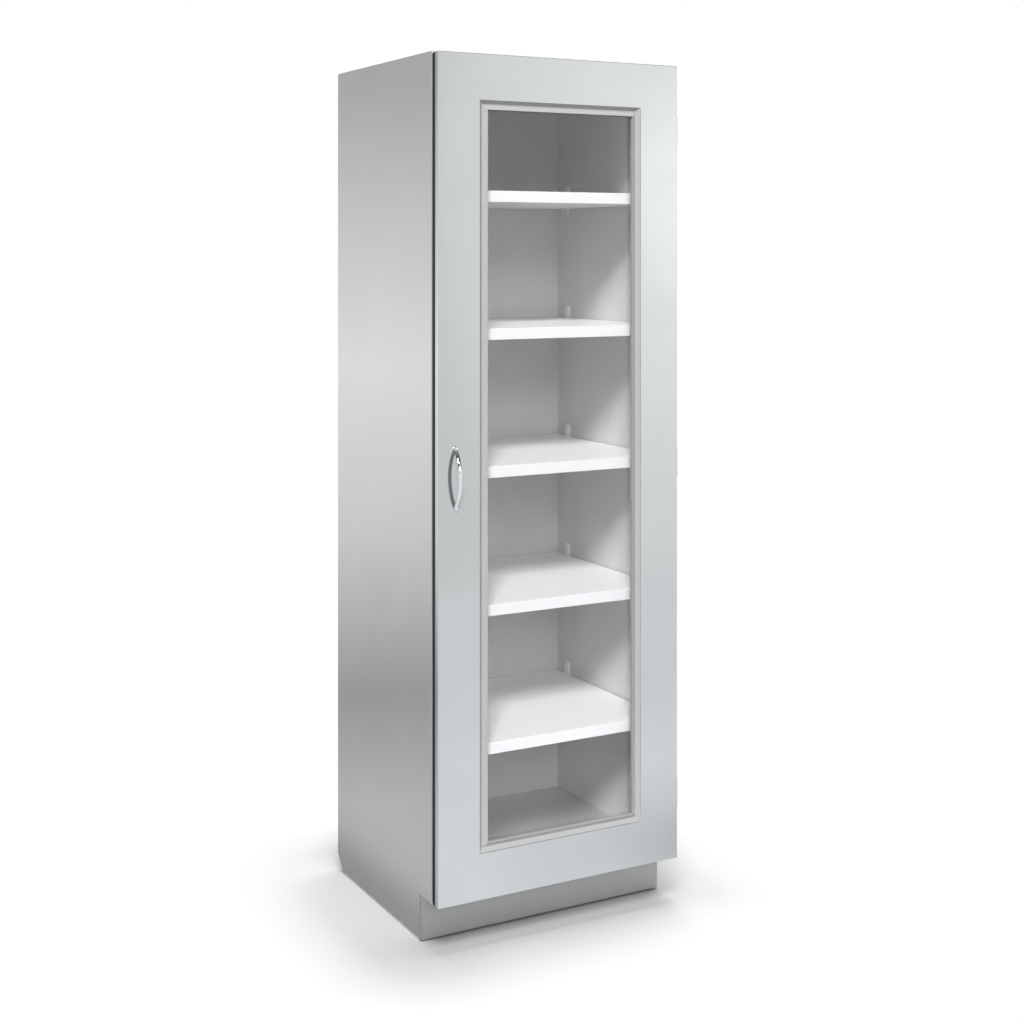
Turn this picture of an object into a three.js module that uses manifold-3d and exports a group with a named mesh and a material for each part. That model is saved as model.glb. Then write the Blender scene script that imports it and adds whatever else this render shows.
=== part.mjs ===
// Tall glass-door cabinet for a clinic: a panel carcass on a recessed kick, five adjustable
// shelves on locking clips, and one framed glass door hung on the right.
// Millimetres, +Z up. X runs along the front, Y from the front to the back. Sizes are laid out
// from the middle of the carcass front edges, and the whole is then moved so that the origin is
// on the floor, at the middle of the cabinet's bounding box.

import * as THREE from "three";
import { mergeVertices } from "three/addons/utils/BufferGeometryUtils.js";
import Module from "manifold-3d";

const wasm = await Module();
wasm.setup();

// Clearances
const FIT = 0.3; // between two pieces that meet
const MITRE_GAP = 0.4; // between two mitred ends

// Carcass
const WIDTH = 610;
const HEIGHT = 1920;
const DEPTH = 520;
const SIDE_THICKNESS = 19;
const TOP_THICKNESS = 19;
const DECK_THICKNESS = 19;
const BACK_THICKNESS = 12;
const BACK_INSET = 28; // back panel's rear face to the rear edges of the sides
const BACK_GROOVE = 6; // how deep the back panel runs into each side
const HEEL = 38; // corner cut off each side for a skirting board
const HANG_RAIL_HEIGHT = 100;
const HANG_RAIL_THICKNESS = 16;

// Base
const KICK_HEIGHT = 100;
const KICK_SETBACK = 50; // carcass front to the face of the kick board
const KICK_THICKNESS = 12;
const KICK_CLEARANCE = 4; // kick board's lower edge above the floor
const BASE_RAIL_THICKNESS = 16;
const FOOT_RADIUS = 18;
const FOOT_PAD_HEIGHT = 6;
const FOOT_COLLAR_RADIUS = 9;
const FOOT_COLLAR_HEIGHT = 8;
const STUD_RADIUS = 5;
const STUD_SINK = 3; // top of the stud below the deck's upper face
const FOOT_INSET = 30; // foot's centre line to the nearest panel beside it

// Shelves and their clips
const SHELF_COUNT = 5;
const SHELF_THICKNESS = 25;
const SHELF_SETBACK = 10; // carcass front to the shelf's front edge
const SHELF_SIDE_GAP = 3.5;
const SHELF_BACK_GAP = 3;
const CLIP_WIDTH = 15;
const CLIP_PLATE = 2.5;
const CLIP_RISE = 30; // locking tab above the shelf
const CLIP_DROP = 14; // plate below the shelf
const CLIP_LEDGE = 16; // how far the ledge reaches under the shelf
const CLIP_LEDGE_THICKNESS = 5;
const CLIP_NOSE = 9; // how far the locking tab reaches over the shelf
const CLIP_NOSE_TOP = 6.5; // and how far at its top
const CLIP_PIN_RADIUS = 2.5;
const CLIP_PIN_LENGTH = 9;
const CLIP_PIN_END = 6; // pin's centre to the end of the plate
const CLIP_INSET = 55; // clip's middle to the shelf's front and to the back panel

// Door
const DOOR_THICKNESS = 19;
const DOOR_GAP = 13; // carcass front to the back of the door
const DOOR_TOP_REVEAL = 3; // top of the door below the top of the carcass
const STILE_WIDTH = 100;
const RAIL_WIDTH = 100;
const SEAL_WIDTH = 10;
const SEAL_INSET = 1; // edge of the door to the seal
const SEAL_REBATE = 4; // how deep the seal is let into the back of the door
const BEAD_WIDTH = 20;
const BEAD_REVEAL = 1.2; // front of the door to the bead's two edges
const BEAD_SLOPE = 5.5; // width of each straight side of the bead's hollow
const BEAD_SLOPE_ANGLE = (45 * Math.PI) / 180;
const BEAD_LIP_WIDTH = 1.5; // flat edge beside the glass
const HOLLOW_FACETS = 6;
const GLASS_THICKNESS = 4;
const GLASS_EDGE_GAP = 3;
const RETAINER_WIDTH = 14;
const RETAINER_THICKNESS = 2.4;

// Handle
const HANDLE_CENTRES = 128;
const HANDLE_PROJECTION = 30;
const HANDLE_WIDTH = 9;
const HANDLE_THICKNESS = 7;
const HANDLE_POST_HEIGHT = 7; // straight foot round each screw
const HANDLE_FROM_EDGE = 40; // door's free edge to the handle's middle
const HANDLE_SCREW_RADIUS = 2;
const HANDLE_SCREW_BITE = 5; // how far the screw runs into the handle
const SCREW_HEAD_RADIUS = 4;
const SCREW_HEAD_HEIGHT = 2.5;

// Hinges
const HINGE_COUNT = 3;
const HINGE_HEIGHT = 70;
const HINGE_FROM_END = 150; // end of the door to the middle of the nearest hinge
const KNUCKLES = 5;
const KNUCKLE_GAP = 0.6;
const BARREL_RADIUS = 4.5;
const PIN_RADIUS = 2.25;
const PIN_TIP_RADIUS = 4;
const PIN_TIP_HEIGHT = 2.5;
const LEAF_THICKNESS = 2.2;
const FRAME_LEAF_WIDTH = 30;
const DOOR_LEAF_WIDTH = 14;
const LEAF_EDGE_GAP = 2; // leaf to the edge of its panel at the gap

// Magnetic catch
const CATCH_LENGTH = 46;
const CATCH_HEIGHT = 16;
const CATCH_DEPTH = 30; // how far the body runs back along the panel
const STRIKE_LENGTH = 40;
const STRIKE_HEIGHT = 14;
const STRIKE_THICKNESS = 1.5;
const CATCH_FROM_EDGE = 75; // door's free edge to the catch's middle

// Facets of round work
const HOLE_SIDES = 8;
const ROUND_SIDES = 16;
const BOW_STEPS = 20;
const BOW_SIDES = 6; // facets round half of the bow
const WELD = 1e-4; // corners nearer than this become one

// Places worked out from the sizes
const sideX = WIDTH / 2;
const innerX = sideX - SIDE_THICKNESS;
const deckTop = KICK_HEIGHT + DECK_THICKNESS;
const topUnderside = HEIGHT - TOP_THICKNESS;
const kickRear = KICK_SETBACK + KICK_THICKNESS;
const backRear = DEPTH - BACK_INSET;
const backFront = backRear - BACK_THICKNESS;
const doorBack = -DOOR_GAP;
const doorFront = doorBack - DOOR_THICKNESS;
const doorBottom = KICK_HEIGHT;
const doorTop = HEIGHT - DOOR_TOP_REVEAL;
const doorMiddle = (doorBottom + doorTop) / 2;
const paneBack = doorBack - RETAINER_THICKNESS - FIT;
const paneFront = paneBack - GLASS_THICKNESS;
const beadDepth = paneFront - FIT - doorFront;
const windowX = sideX - STILE_WIDTH;
const windowBottom = doorBottom + RAIL_WIDTH;
const windowTop = doorTop - RAIL_WIDTH;
const bay = (topUnderside - deckTop - SHELF_COUNT * SHELF_THICKNESS) / (SHELF_COUNT + 1);
const shelfEndX = innerX - SHELF_SIDE_GAP;
const handleX = HANDLE_FROM_EDGE - sideX;
const hingeX = sideX + BARREL_RADIUS + FIT;
const hingeY = doorBack / 2;

const FINISHES = {
  silverLaminate: { color: 0xc3c6c8, roughness: 0.35, metalness: 0.8 },
  greyLaminate: { color: 0x9a9c9d, roughness: 0.45, metalness: 0.7 },
  whiteMelamine: { color: 0xf2f2f1, roughness: 0.5, metalness: 0 },
  plainBoard: { color: 0xb9babb, roughness: 0.5, metalness: 0 },
  whitePlastic: { color: 0xe6e7e8, roughness: 0.35, metalness: 0 },
  greyPlastic: { color: 0x55585a, roughness: 0.5, metalness: 0 },
  blackRubber: { color: 0x232425, roughness: 0.7, metalness: 0 },
  glass: { color: 0xdfe9e6, roughness: 0.02, metalness: 0, transparent: true, opacity: 0.2 },
  chrome: { color: 0xe4e6e8, roughness: 0.06, metalness: 1 },
  steel: { color: 0xb4b6b8, roughness: 0.25, metalness: 1 },
};

// A geometry as a closed solid, and the way back.
function solidOf(geometry) {
  const bare = geometry.clone();
  bare.deleteAttribute("normal");
  bare.deleteAttribute("uv");
  const merged = mergeVertices(bare, WELD);
  const vertProperties = merged.attributes.position.array;
  const triVerts = new Uint32Array(merged.index.array);
  return new wasm.Manifold(new wasm.Mesh({ numProp: 3, vertProperties, triVerts }));
}

function geometryOf(solid) {
  const { numProp, numVert, vertProperties, triVerts } = solid.getMesh();
  const positions = new Float32Array(numVert * 3);
  for (let i = 0; i < numVert; i++) {
    positions.set(vertProperties.subarray(i * numProp, i * numProp + 3), i * 3);
  }
  const geometry = new THREE.BufferGeometry();
  geometry.setAttribute("position", new THREE.BufferAttribute(positions, 3));
  geometry.setIndex(new THREE.BufferAttribute(triVerts, 1));
  geometry.computeVertexNormals();
  return geometry;
}

function cut(body, tools) {
  return geometryOf(tools.reduce((left, tool) => left.subtract(solidOf(tool)), solidOf(body)));
}

function join(pieces) {
  return geometryOf(pieces.map(solidOf).reduce((whole, piece) => whole.add(piece)));
}

// A box between two corners. Its faces are set, not added up, so boxes that share a face meet exactly.
function block(low, high) {
  const box = new THREE.BoxGeometry();
  [0, 1, 2].forEach((axis) => setFaces(box, axis, low[axis], high[axis]));
  return box;
}

// Moves the two end faces of a straight piece to their exact places along an axis.
function setFaces(geometry, axis, low, high) {
  const { position } = geometry.attributes;
  geometry.computeBoundingBox();
  const middle = geometry.boundingBox.getCenter(new THREE.Vector3()).getComponent(axis);
  for (let i = 0; i < position.count; i++) {
    position.setComponent(i, axis, position.getComponent(i, axis) < middle ? low : high);
  }
  return geometry;
}

// A round bar along "x", "y" or "z", centred on a point.
function rod(axis, radius, length, centre, sides = HOLE_SIDES) {
  const bar = new THREE.CylinderGeometry(radius, radius, length, sides);
  if (axis === "x") bar.rotateZ(Math.PI / 2);
  if (axis === "z") bar.rotateX(Math.PI / 2);
  return bar.translate(...centre);
}

// A piece turned about +Z from a profile of radius and height.
function turned(profile) {
  const points = profile.map(([radius, height]) => new THREE.Vector2(radius, height));
  return new THREE.LatheGeometry(points, ROUND_SIDES).rotateX(Math.PI / 2);
}

// An outline of points, with an optional window, extruded along its third axis.
function outline(points, window) {
  const shape = new THREE.Shape(points.map(([x, y]) => new THREE.Vector2(x, y)));
  if (window) shape.holes.push(new THREE.Path(window.map(([x, y]) => new THREE.Vector2(x, y))));
  return new THREE.ExtrudeGeometry(shape, { depth: 1, bevelEnabled: false });
}

// Stands an extruded outline up: its x and y become two row axes, its depth the third.
function stand(geometry, xAxis, yAxis) {
  const x = new THREE.Vector3(...xAxis);
  const y = new THREE.Vector3(...yAxis);
  return geometry.applyMatrix4(new THREE.Matrix4().makeBasis(x, y, x.clone().cross(y)));
}

// A rectangular ring that faces the front, between two places from front to back.
function ring(halfWidth, bottom, top, width, front, back) {
  const corners = (inset) => [
    [inset - halfWidth, bottom + inset],
    [halfWidth - inset, bottom + inset],
    [halfWidth - inset, top - inset],
    [inset - halfWidth, top - inset],
  ];
  const flat = outline(corners(0), corners(width));
  return setFaces(stand(flat, [1, 0, 0], [0, 0, 1]), 1, front, back);
}

const cabinet = new THREE.Group();
const carcass = new THREE.Group();
const door = new THREE.Group();
cabinet.add(carcass, door);

function place(group, name, geometry, finish, position = [0, 0, 0]) {
  const mesh = new THREE.Mesh(geometry, new THREE.MeshStandardMaterial(FINISHES[finish]));
  mesh.name = name;
  mesh.position.set(...position);
  group.add(mesh);
  return mesh;
}

// Shelf levels and clip places
const shelves = Array.from({ length: SHELF_COUNT }, (_, i) => {
  return { number: i + 1, underside: deckTop + (i + 1) * bay + i * SHELF_THICKNESS };
});
const clipRows = [
  { row: "front", y: SHELF_SETBACK + CLIP_INSET },
  { row: "rear", y: backFront - CLIP_INSET },
];
const clipPins = [CLIP_PIN_END - CLIP_DROP, SHELF_THICKNESS + CLIP_RISE - CLIP_PIN_END];

// Side panels: toe notch in front, heel cut at the back, groove for the back panel, pin holes.
function sidePanel(sign) {
  const points = [
    [0, KICK_HEIGHT],
    [kickRear, KICK_HEIGHT],
    [kickRear, 0],
    [DEPTH - HEEL, 0],
    [DEPTH, HEEL],
    [DEPTH, HEIGHT],
    [0, HEIGHT],
  ];
  const [low, high] = sign > 0 ? [innerX, sideX] : [-sideX, -innerX];
  const board = setFaces(stand(outline(points), [0, 1, 0], [0, 0, 1]), 0, low, high);
  const holeLength = 2 * (CLIP_PIN_LENGTH + FIT);
  const holes = shelves.flatMap(({ underside }) =>
    clipRows.flatMap(({ y }) =>
      clipPins.map((pinZ) =>
        rod("x", CLIP_PIN_RADIUS + FIT, holeLength, [sign * innerX, y, underside + pinZ]),
      ),
    ),
  );
  const grooveX = [sign * (innerX - FIT), sign * (innerX + BACK_GROOVE + FIT)];
  const groove = block(
    [Math.min(...grooveX), backFront - FIT, KICK_HEIGHT - FIT],
    [Math.max(...grooveX), backRear + FIT, topUnderside + FIT],
  );
  return cut(board, [groove, ...holes]);
}

place(carcass, "left_side_panel", sidePanel(-1), "silverLaminate");
place(carcass, "right_side_panel", sidePanel(1), "silverLaminate");

const topPanel = block([-innerX, 0, topUnderside], [innerX, DEPTH, HEIGHT]);
place(carcass, "top_panel", topPanel, "silverLaminate");

// The back panel stands in the grooves of the sides, behind the deck and under the top.
const backX = innerX + BACK_GROOVE;
const backPanel = block([-backX, backFront, KICK_HEIGHT], [backX, backRear, topUnderside]);
place(carcass, "back_panel", backPanel, "greyLaminate");

// Two rails behind the back panel take the screws that tie the cabinet to a wall.
const hangRails = [
  { name: "upper_hang_rail", bottom: topUnderside - HANG_RAIL_HEIGHT },
  { name: "lower_hang_rail", bottom: deckTop },
];
hangRails.forEach(({ name, bottom }) => {
  const rear = backRear + HANG_RAIL_THICKNESS;
  const rail = block([-innerX, backRear, bottom], [innerX, rear, bottom + HANG_RAIL_HEIGHT]);
  place(carcass, name, rail, "plainBoard");
});

// Base: the kick board covers the ends of the sides, and a rail closes the base behind.
const kickBoard = block(
  [-sideX, KICK_SETBACK, KICK_CLEARANCE],
  [sideX, kickRear, KICK_HEIGHT],
);
place(carcass, "kick_board", kickBoard, "greyLaminate");
const baseRailRear = DEPTH - HEEL;
const baseRailFront = baseRailRear - BASE_RAIL_THICKNESS;
const baseRail = block([-innerX, baseRailFront, 0], [innerX, baseRailRear, KICK_HEIGHT]);
place(carcass, "rear_base_rail", baseRail, "plainBoard");

// Levelling feet stand inside the base, with their studs screwed up through the deck.
const footX = innerX - FOOT_INSET;
const feet = [
  { name: "front_left_foot", x: -footX, y: kickRear + FOOT_INSET },
  { name: "front_right_foot", x: footX, y: kickRear + FOOT_INSET },
  { name: "rear_left_foot", x: -footX, y: baseRailFront - FOOT_INSET },
  { name: "rear_right_foot", x: footX, y: baseRailFront - FOOT_INSET },
];
const footProfile = [
  [0, 0],
  [FOOT_RADIUS, 0],
  [FOOT_RADIUS, FOOT_PAD_HEIGHT],
  [FOOT_COLLAR_RADIUS, FOOT_PAD_HEIGHT + FOOT_COLLAR_HEIGHT],
  [STUD_RADIUS, FOOT_PAD_HEIGHT + FOOT_COLLAR_HEIGHT],
  [STUD_RADIUS, deckTop - STUD_SINK],
  [0, deckTop - STUD_SINK],
];
feet.forEach(({ name, x, y }) => {
  place(carcass, name, turned(footProfile), "greyPlastic", [x, y, 0]);
});

const deckBoard = block([-innerX, 0, KICK_HEIGHT], [innerX, backFront, deckTop]);
const deckMiddle = (KICK_HEIGHT + deckTop) / 2;
const studBores = feet.map(({ x, y }) =>
  rod("z", STUD_RADIUS + FIT, 2 * DECK_THICKNESS, [x, y, deckMiddle], ROUND_SIDES),
);
place(carcass, "bottom_deck", cut(deckBoard, studBores), "greyLaminate");

// Shelves lie on four locking clips each.
shelves.forEach(({ number, underside }) => {
  const low = [-shelfEndX, SHELF_SETBACK, underside];
  const high = [shelfEndX, backFront - SHELF_BACK_GAP, underside + SHELF_THICKNESS];
  place(carcass, `shelf_${number}`, block(low, high), "whiteMelamine");
});

// A clip on the left side: plate on the panel, ledge under the shelf, tab over it, two pins.
function shelfClip() {
  const half = CLIP_WIDTH / 2;
  const face = FIT + CLIP_PLATE;
  const shelfTop = SHELF_THICKNESS + FIT;
  const clipTop = SHELF_THICKNESS + CLIP_RISE;
  const plate = block([FIT, -half, -CLIP_DROP], [face, half, clipTop]);
  const ledge = block([FIT, -half, -FIT - CLIP_LEDGE_THICKNESS], [CLIP_LEDGE, half, -FIT]);
  const nosePoints = [
    [FIT, shelfTop],
    [CLIP_NOSE, shelfTop],
    [CLIP_NOSE_TOP, clipTop],
    [FIT, clipTop],
  ];
  const nose = setFaces(stand(outline(nosePoints), [1, 0, 0], [0, 0, 1]), 1, -half, half);
  const pinLength = CLIP_PIN_LENGTH + face;
  const pins = clipPins.map((z) =>
    rod("x", CLIP_PIN_RADIUS, pinLength, [face - pinLength / 2, 0, z]),
  );
  return join([plate, ledge, nose, ...pins]);
}

shelves.forEach(({ number, underside }) => {
  clipRows.forEach(({ row, y }) => {
    [-1, 1].forEach((sign) => {
      const name = `shelf_${number}_clip_${row}_${sign < 0 ? "left" : "right"}`;
      const clip = place(carcass, name, shelfClip(), "whitePlastic", [sign * innerX, y, underside]);
      clip.rotation.z = sign < 0 ? 0 : Math.PI;
    });
  });
});

// A magnetic catch under the top panel, by the free edge of the door, and the plate that it holds.
const catchX = CATCH_FROM_EDGE - sideX;
const catchFront = doorBack + STRIKE_THICKNESS + FIT;
const magnetCatch = block(
  [catchX - CATCH_LENGTH / 2, catchFront, topUnderside - CATCH_HEIGHT],
  [catchX + CATCH_LENGTH / 2, catchFront + CATCH_DEPTH, topUnderside],
);
place(carcass, "magnet_catch", magnetCatch, "greyPlastic");
const strikeMiddle = topUnderside - CATCH_HEIGHT / 2;
const strikePlate = block(
  [catchX - STRIKE_LENGTH / 2, doorBack, strikeMiddle - STRIKE_HEIGHT / 2],
  [catchX + STRIKE_LENGTH / 2, doorBack + STRIKE_THICKNESS, strikeMiddle + STRIKE_HEIGHT / 2],
);
place(door, "strike_plate", strikePlate, "steel");

// Door frame: one slab with a window, rebated behind for the seal and drilled for the handle.
const screwHeights = [
  { end: "lower", z: doorMiddle - HANDLE_CENTRES / 2 },
  { end: "upper", z: doorMiddle + HANDLE_CENTRES / 2 },
];
const slab = block([-sideX, doorFront, doorBottom], [sideX, doorBack, doorTop]);
const windowCut = block(
  [-windowX, doorFront - FIT, windowBottom],
  [windowX, doorBack + FIT, windowTop],
);
const sealSeat = doorBack - SEAL_REBATE;
const rebate = ring(
  sideX + FIT,
  doorBottom - FIT,
  doorTop + FIT,
  SEAL_INSET + SEAL_WIDTH + 2 * FIT,
  sealSeat,
  doorBack + FIT,
);
const slabMiddle = (doorFront + doorBack) / 2;
const handleBores = screwHeights.map(({ z }) =>
  rod("y", HANDLE_SCREW_RADIUS + FIT, 2 * DOOR_THICKNESS, [handleX, slabMiddle, z]),
);
place(door, "door_frame", cut(slab, [windowCut, rebate, ...handleBores]), "silverLaminate");

// Glazing beads: a moulding mitred round the window, with a flat lip beside the glass. Its hollow
// slopes down from both edges to a rounded bottom.
const lipStart = BEAD_WIDTH - BEAD_LIP_WIDTH;
const hollowMiddle = (FIT + lipStart) / 2;
const hollowRadius = (lipStart - hollowMiddle - BEAD_SLOPE) / Math.sin(BEAD_SLOPE_ANGLE);
const slopeFoot = BEAD_REVEAL + BEAD_SLOPE * Math.tan(BEAD_SLOPE_ANGLE);
const hollowCentre = slopeFoot - hollowRadius * Math.cos(BEAD_SLOPE_ANGLE);
const hollowBottom = Array.from({ length: HOLLOW_FACETS + 1 }, (_, i) => {
  const angle = BEAD_SLOPE_ANGLE * ((2 * i) / HOLLOW_FACETS - 1);
  const across = hollowMiddle + hollowRadius * Math.sin(angle);
  return [across, hollowCentre + hollowRadius * Math.cos(angle)];
});
function glazingBead(length) {
  const points = [
    [FIT, beadDepth],
    [FIT, BEAD_REVEAL],
    ...hollowBottom,
    [lipStart, BEAD_REVEAL],
    [BEAD_WIDTH, BEAD_REVEAL],
    [BEAD_WIDTH, beadDepth],
  ];
  const bead = setFaces(outline(points), 2, -length / 2, length / 2);
  const { position } = bead.attributes;
  for (let i = 0; i < position.count; i++) {
    const mitre = position.getX(i) + MITRE_GAP / 2;
    const end = position.getZ(i);
    position.setZ(i, end - Math.sign(end) * mitre);
  }
  return bead;
}

const windowHeight = windowTop - windowBottom;
const windowMiddle = (windowTop + windowBottom) / 2;
const beads = [
  { side: "left", length: windowHeight, at: [-windowX, windowMiddle], inward: [1, 0, 0] },
  { side: "right", length: windowHeight, at: [windowX, windowMiddle], inward: [-1, 0, 0] },
  { side: "top", length: 2 * windowX, at: [0, windowTop], inward: [0, 0, -1] },
  { side: "bottom", length: 2 * windowX, at: [0, windowBottom], inward: [0, 0, 1] },
];
beads.forEach(({ side, length, at, inward }) => {
  const bead = stand(glazingBead(length), inward, [0, 1, 0]);
  place(door, `glazing_bead_${side}`, bead, "silverLaminate", [at[0], doorFront, at[1]]);
});

// The pane lies behind the beads, and a retainer in the frame holds it from the back.
const pane = block(
  [GLASS_EDGE_GAP - windowX, paneFront, windowBottom + GLASS_EDGE_GAP],
  [windowX - GLASS_EDGE_GAP, paneBack, windowTop - GLASS_EDGE_GAP],
);
place(door, "glass_pane", pane, "glass");
const retainer = ring(
  windowX - FIT,
  windowBottom + FIT,
  windowTop - FIT,
  RETAINER_WIDTH,
  doorBack - RETAINER_THICKNESS,
  doorBack,
);
place(door, "glass_retainer", retainer, "greyPlastic");

// The seal runs round the door in its rebate and closes on the edges of the carcass.
const seal = ring(
  sideX - SEAL_INSET,
  doorBottom + SEAL_INSET,
  doorTop - SEAL_INSET,
  SEAL_WIDTH,
  sealSeat,
  -FIT,
);
place(door, "door_seal", seal, "blackRubber");

// Bow handle: an arc from screw to screw on two short posts, cut flat where it stands on the door.
const rise = HANDLE_PROJECTION - HANDLE_THICKNESS / 2;
const bowRadius = (HANDLE_CENTRES ** 2 / 4 + rise ** 2) / (2 * rise);
const bowReach = Math.asin(HANDLE_CENTRES / 2 / bowRadius);
const bowOverrun = HANDLE_THICKNESS / bowRadius; // run on into the door, then cut off
class Bow extends THREE.Curve {
  getPoint(t) {
    const angle = (2 * t - 1) * (bowReach + bowOverrun);
    const out = bowRadius * Math.cos(angle) - bowRadius + rise;
    return new THREE.Vector3(0, -out, bowRadius * Math.sin(angle));
  }
}
const bowSection = new THREE.Shape();
bowSection.absellipse(0, 0, HANDLE_WIDTH / 2, HANDLE_THICKNESS / 2, 0, 2 * Math.PI);
const bow = new THREE.ExtrudeGeometry(bowSection, {
  steps: BOW_STEPS,
  curveSegments: BOW_SIDES,
  extrudePath: new Bow(),
  bevelEnabled: false,
});
const doorSide = block(
  [-HANDLE_WIDTH, 0, -HANDLE_CENTRES],
  [HANDLE_WIDTH, HANDLE_PROJECTION, HANDLE_CENTRES],
);
const posts = screwHeights.map(({ z }) => {
  const middle = [0, -HANDLE_POST_HEIGHT / 2, z - doorMiddle];
  return rod("y", HANDLE_WIDTH / 2, HANDLE_POST_HEIGHT, middle, ROUND_SIDES);
});
const tappedHoles = screwHeights.map(({ z }) =>
  rod("y", HANDLE_SCREW_RADIUS + FIT, 2 * (HANDLE_SCREW_BITE + FIT), [0, 0, z - doorMiddle]),
);
const handle = cut(join([bow, ...posts]), [doorSide, ...tappedHoles]);
place(door, "bow_handle", handle, "chrome", [handleX, doorFront, doorMiddle]);

screwHeights.forEach(({ end, z }) => {
  const tip = doorFront - HANDLE_SCREW_BITE;
  const length = doorBack - tip;
  const shank = rod("y", HANDLE_SCREW_RADIUS, length, [handleX, doorBack - length / 2, z]);
  const headMiddle = doorBack + FIT + SCREW_HEAD_HEIGHT / 2;
  const head = rod("y", SCREW_HEAD_RADIUS, SCREW_HEAD_HEIGHT, [handleX, headMiddle, z], ROUND_SIDES);
  const neck = rod("y", HANDLE_SCREW_RADIUS, SCREW_HEAD_HEIGHT, [handleX, doorBack, z]);
  place(door, `${end}_handle_screw`, join([shank, neck, head]), "steel");
});

// Hinges: one leaf on the side panel, one on the edge of the door, and a pin through the knuckles.
function hingeLeaf(onDoor) {
  const pitch = HINGE_HEIGHT / KNUCKLES;
  const from = onDoor ? doorBack - LEAF_EDGE_GAP : LEAF_EDGE_GAP;
  const to = onDoor ? from - DOOR_LEAF_WIDTH : from + FRAME_LEAF_WIDTH;
  const half = HINGE_HEIGHT / 2;
  const inside = sideX + FIT;
  const outside = inside + LEAF_THICKNESS;
  const plate = block([inside, Math.min(from, to), -half], [outside, Math.max(from, to), half]);
  const pieces = [plate];
  for (let i = onDoor ? 1 : 0; i < KNUCKLES; i += 2) {
    const low = i * pitch - half + KNUCKLE_GAP / 2;
    const high = (i + 1) * pitch - half - KNUCKLE_GAP / 2;
    const middle = (low + high) / 2;
    pieces.push(rod("z", BARREL_RADIUS, high - low, [hingeX, hingeY, middle], ROUND_SIDES));
    pieces.push(block([inside, Math.min(hingeY, to), low], [outside, Math.max(hingeY, to), high]));
  }
  const bore = rod("z", PIN_RADIUS + FIT, 2 * HINGE_HEIGHT, [hingeX, hingeY, 0], ROUND_SIDES);
  return cut(join(pieces), [bore]);
}

const pinHalf = HINGE_HEIGHT / 2;
const pinProfile = [
  [0, -pinHalf - PIN_TIP_HEIGHT],
  [PIN_TIP_RADIUS, -pinHalf - PIN_TIP_HEIGHT],
  [PIN_TIP_RADIUS, -pinHalf],
  [PIN_RADIUS, -pinHalf],
  [PIN_RADIUS, pinHalf],
  [PIN_TIP_RADIUS, pinHalf],
  [PIN_TIP_RADIUS, pinHalf + PIN_TIP_HEIGHT],
  [0, pinHalf + PIN_TIP_HEIGHT],
];
const hingeSpan = doorTop - doorBottom - 2 * HINGE_FROM_END;
for (let i = 0; i < HINGE_COUNT; i++) {
  const z = doorBottom + HINGE_FROM_END + (i * hingeSpan) / (HINGE_COUNT - 1);
  place(carcass, `hinge_${i + 1}_frame_leaf`, hingeLeaf(false), "steel", [0, 0, z]);
  place(carcass, `hinge_${i + 1}_pin`, turned(pinProfile), "steel", [hingeX, hingeY, z]);
  place(door, `hinge_${i + 1}_door_leaf`, hingeLeaf(true), "steel", [0, 0, z]);
}

// The origin moves to the floor, at the middle of the box over the hinge barrels and the handle.
const rightmost = hingeX + BARREL_RADIUS;
const foremost = doorFront - HANDLE_PROJECTION;
cabinet.position.set((sideX - rightmost) / 2, -(foremost + DEPTH) / 2, 0);

export default cabinet;
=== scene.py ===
from math import asin, cos, pi, radians, sin, tan

import bmesh
import bpy
from mathutils import Matrix, Vector


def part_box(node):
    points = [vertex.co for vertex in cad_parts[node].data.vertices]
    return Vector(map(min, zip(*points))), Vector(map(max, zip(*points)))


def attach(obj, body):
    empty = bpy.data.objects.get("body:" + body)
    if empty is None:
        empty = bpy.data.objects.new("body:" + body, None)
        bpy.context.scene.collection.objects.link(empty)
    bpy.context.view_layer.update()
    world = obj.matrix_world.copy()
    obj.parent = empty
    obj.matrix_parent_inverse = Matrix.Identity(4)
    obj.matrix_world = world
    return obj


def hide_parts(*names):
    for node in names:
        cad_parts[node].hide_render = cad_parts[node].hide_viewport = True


# Looks of a tall glass-door clinic cabinet, built round its CAD frame. Metres, +Z up, front at -Y.
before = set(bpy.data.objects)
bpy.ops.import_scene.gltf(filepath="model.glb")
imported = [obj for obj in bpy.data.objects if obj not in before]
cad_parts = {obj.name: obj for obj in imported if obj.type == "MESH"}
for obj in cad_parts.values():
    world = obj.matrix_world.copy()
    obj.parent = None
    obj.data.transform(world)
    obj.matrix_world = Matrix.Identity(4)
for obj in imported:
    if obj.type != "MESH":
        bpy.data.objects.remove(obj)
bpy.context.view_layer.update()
MM = 0.001


# Colours, nodes and materials

def srgb(code):
    """A hex colour as the linear RGBA that shaders take."""
    parts = [int(code[i:i + 2], 16) / 255 for i in (0, 2, 4)]
    return [c / 12.92 if c <= 0.04045 else ((c + 0.055) / 1.055) ** 2.4 for c in parts] + [1.0]


def add(tree, kind, inputs=None, **settings):
    """Adds a shader node. Each input is a value, or the output socket that feeds it."""
    made = tree.nodes.new("ShaderNode" + kind)
    for name, value in settings.items():
        setattr(made, name, value)
    for name, value in (inputs or {}).items():
        if isinstance(value, bpy.types.NodeSocket):
            tree.links.new(value, made.inputs[name])
        else:
            made.inputs[name].default_value = value
    return made


def new_material(name):
    material = bpy.data.materials.new(name)
    material.use_nodes = True
    material.node_tree.nodes.clear()
    return material, material.node_tree


# Noise keeps to the middle of 0 to 1, so this part of it is spread over the range that is asked for.
NOISE_SPAN = {"From Min": 0.3, "From Max": 0.7}
# Height of the bumps in every pressed, brushed or moulded face
GRAIN_HEIGHT = 0.05 * MM


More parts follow.
